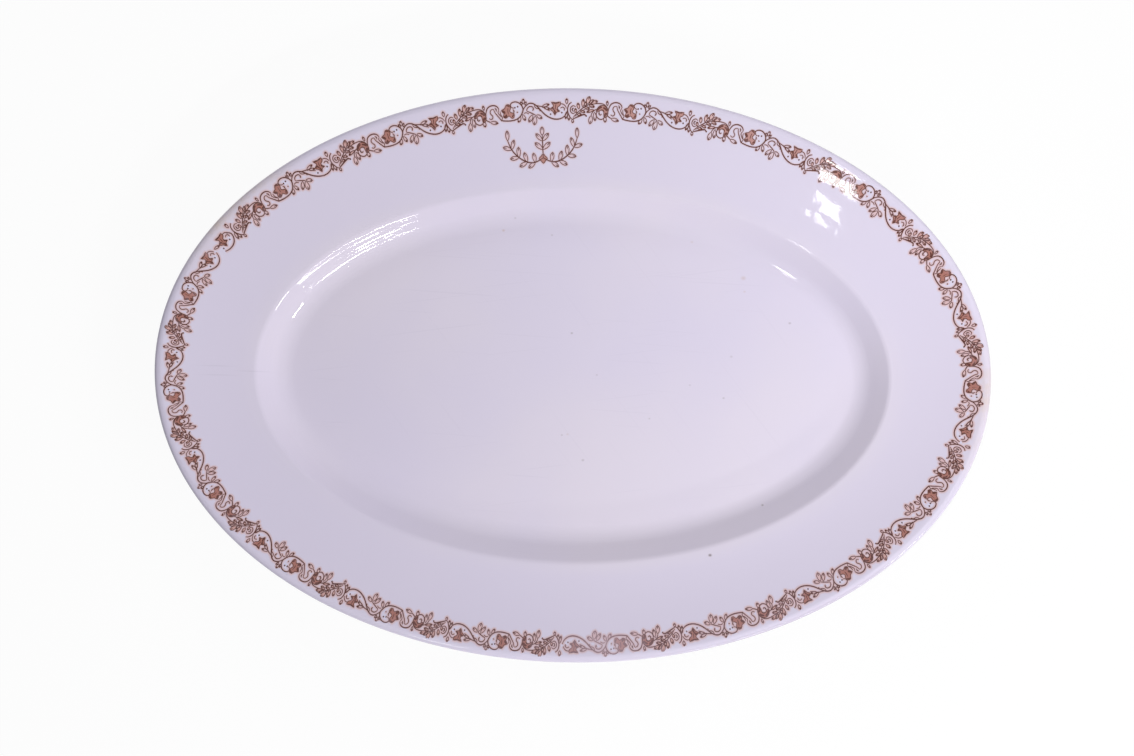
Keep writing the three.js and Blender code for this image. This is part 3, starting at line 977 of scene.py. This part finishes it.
spray = {
    "along": -20.7,
    "inset": 31,
    "stems": [
        (0.7, [(0, -6), (0, -1.5), (0, 3), (0, 6.5)]),
        (0.8, [(0, -6), (5, -8.2), (10, -7.8), (15, -5), (19, -0.5), (21, 5)]),
    ],
    "leaves": [
        ((0, 5.9), (0, 10.5), 1.1), ((0, 3), (3.8, 7), 1.0), ((0, -1.5), (4.6, 2.2), 1.1),
        ((5, -8.2), (6, -3.2), 1.1), ((5, -8.2), (9.5, -11), 1.0), ((10, -7.8), (11.6, -2.6), 1.1),
        ((10, -7.8), (15, -10), 1.0),
        ((15, -5), (14.8, 0.6), 1.1), ((15, -5), (20.4, -5.4), 1.0), ((19, -0.5), (17, 4.6), 1.0),
        ((19, -0.5), (24, 1.2), 1.0), ((20.8, 4.4), (20.6, 9.8), 1.0),
    ],
    "rosette": [(2.6, -6.4), (1.3, -5.1), (0, -3.8), (-1.3, -5.1), (-2.6, -6.4), (-1.3, -7.7), (0, -9),
                (1.3, -7.7)],
}


def makeSpray():
    def mirrored(points):
        return [(-u, v) for u, v in points]

    # the middle twig and its top leaf stand on the mirror line
    stems = spray["stems"] + [(width, mirrored(points)) for width, points in spray["stems"][1:]]
    leaves = spray["leaves"] + [(*mirrored(leaf[:2]), leaf[2]) for leaf in spray["leaves"][1:]]
    made = drawInk("rimOrnament", {"stems": stems, "leaves": leaves, "petals": [spray["rosette"]]})
    layOnRim(made, spray["along"], 1, 0, spray["inset"], 0)
    shadeLikeRim(made)
    settle(made, brownInk, "rim_ornament")
    return made


rimOrnament = makeSpray()
print("spray done", len(rimOrnament.data.polygons))


# Floor, light and camera

studio = {
    "ambient": 0.217,
    "ambientColour": (0.97, 0.97, 1.06),
    "white": (1, 1, 1),
    "floorSize": 12,
    "floorColour": (0.85, 0.85, 0.85),
    "floorShade": 0.06,
}
lamps = {
    # place, shape, size, power and whether the lamp shows in the glaze
    "upperKeyLamp": ((0.443, -0.758, 0.662), "RECTANGLE", (0.5, 0.04), 6.0, False),
    "lowerKeyLamp": ((0.5, -0.902, 0.336), "ELLIPSE", (0.52, 0.03), 1.15, True),
    "sideKeyLamp": ((0.746, -0.596, 0.55), "RECTANGLE", (0.15, 0.1), 1.55, True),
    "windowLamp": ((-0.19, -0.526, 1.354), "RECTANGLE", (0.03, 0.1), 0.12, True),
    "paneLamp": ((-0.25, -0.64, 1.265), "RECTANGLE", (0.06, 0.06), 0.2, True),
    "skylightLamp": ((-0.15, -0.462, 1.395), "RECTANGLE", (0.02, 0.025), 0.02, True),
    "fillLamp": ((0.27, 0.1, 0.45), "RECTANGLE", (0.3, 0.3), 1.0, False),
    "backLamp": ((-0.2, 0.95, 0.5), "RECTANGLE", (0.8, 0.4), 2.8, False),
}


def seenRays(bench):
    # 1 where the camera sees the floor or the world, also in a reflection or through glass
    seen = bench.node("ShaderNodeLightPath", {}, {}, "Is Camera Ray")
    glossy = bench.node("ShaderNodeLightPath", {}, {}, "Is Glossy Ray")
    through = bench.node("ShaderNodeLightPath", {}, {}, "Is Transmission Ray")
    return seen.math("MAXIMUM", seen.math("MAXIMUM", seen, glossy), through)


def makeFloor():
    deselectAll()
    bpy.ops.mesh.primitive_plane_add(size=studio["floorSize"], location=(0, 0, 0))
    made = bpy.context.object
    made.name = "studioFloor"
    material, bench = newMaterial("whiteFloor")
    paper = bench.node("ShaderNodeBsdfDiffuse", {}, {"Color": studio["floorColour"]})
    white = bench.node("ShaderNodeEmission", {}, {"Color": studio["white"], "Strength": 1.0})
    shown = bench.node("ShaderNodeMixShader", {}, {0: studio["floorShade"], 1: white, 2: paper})
    bench.finishWith(bench.node("ShaderNodeMixShader", {}, {0: seenRays(bench), 1: paper, 2: shown}))
    made.data.materials.append(material)


def makeWorld():
    world = bpy.data.worlds.new("studioWorld")
    world.use_nodes = True
    bpy.context.scene.world = world
    bench = Bench(world.node_tree)
    dim = bench.node("ShaderNodeBackground", {}, {
        "Color": studio["ambientColour"], "Strength": studio["ambient"]})
    white = bench.node("ShaderNodeBackground", {}, {"Color": studio["white"], "Strength": 1.0})
    shown = bench.node("ShaderNodeMixShader", {}, {0: seenRays(bench), 1: dim, 2: white})
    bench.node("ShaderNodeOutputWorld", {}, {"Surface": shown})


def makeLamp(name, place, shape, size, power, shows):
    # every lamp faces the middle of the platter
    deselectAll()
    bpy.ops.object.light_add(type="AREA", location=place)
    lamp = bpy.context.object
    lamp.name = name
    lamp.data.shape = shape
    lamp.data.size, lamp.data.size_y = size
    lamp.data.energy = power
    lamp.rotation_euler = (-Vector(place)).to_track_quat("-Z", "Y").to_euler()
    lamp.visible_glossy = shows


view = {
    # the platter's centre and half length in the picture, in pixels
    "photoWidth": 1134,
    "photoHeight": 756,
    "centre": (572.8, 374.2),
    "halfLength": 419.0,
    # degrees, metres and millimetres
    "elevation": 88,
    "roll": 1.03,
    "distance": 1.5,
    "sensor": 36,
}


def makeCamera():
    perPixel = (halfWidth + spread) / view["halfLength"] * mm
    lean = math.radians(90 - view["elevation"])
    turn = Matrix.Rotation(lean, 3, "X") @ Matrix.Rotation(math.radians(view["roll"]), 3, "Z")
    centreX, centreY = view["centre"]
    offset = Vector((centreX - view["photoWidth"] / 2, view["photoHeight"] / 2 - centreY, 0))
    target = Vector((0, 0, platter["height"] * mm)) - turn @ (offset * perPixel)
    data = bpy.data.cameras.new("photoCamera")
    data.sensor_width = view["sensor"]
    data.lens = view["sensor"] * view["distance"] / (view["photoWidth"] * perPixel)
    camera = bpy.data.objects.new("photoCamera", data)
    bpy.context.scene.collection.objects.link(camera)
    place = target + turn @ Vector((0, 0, view["distance"]))
    camera.matrix_world = Matrix.Translation(place) @ turn.to_4x4()
    bpy.context.scene.camera = camera


makeFloor()
makeWorld()
for lampName, settings in lamps.items():
    makeLamp(lampName, *settings)
makeCamera()
bpy.context.scene.view_settings.view_transform = "Standard"
print("studio done")
